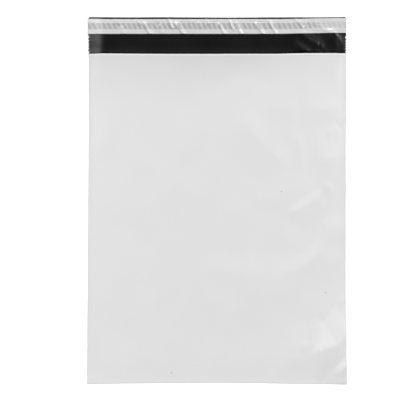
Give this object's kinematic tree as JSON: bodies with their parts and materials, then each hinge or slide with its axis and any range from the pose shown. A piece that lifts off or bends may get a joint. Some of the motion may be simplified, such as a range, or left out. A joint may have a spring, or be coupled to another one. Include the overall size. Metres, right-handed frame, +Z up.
{
  "type": "poly mailer bag",
  "caption": "Flat poly mailer bag with an open mouth under a long flap that carries glue and a peel-off release liner.",
  "frame": {"origin": "on the floor under the middle of the bag's bounding box, where its back panel lies", "axes": "+Z up out of the front panel, +Y from the bottom fold to the flap, +X to the right as seen from above"},
  "size_m": [0.35, 0.496, 0.0101],
  "materials": {
    "white_film": "satin co-extruded film, white outside and black inside",
    "glue": "clear hot-melt glue",
    "liner_film": "creased pale film with a printed grey band"
  },
  "bodies": {
    "root": {"mailer_film": "white_film", "adhesive_strip": "glue", "release_liner": "liner_film"}
  },
  "joints": []
}
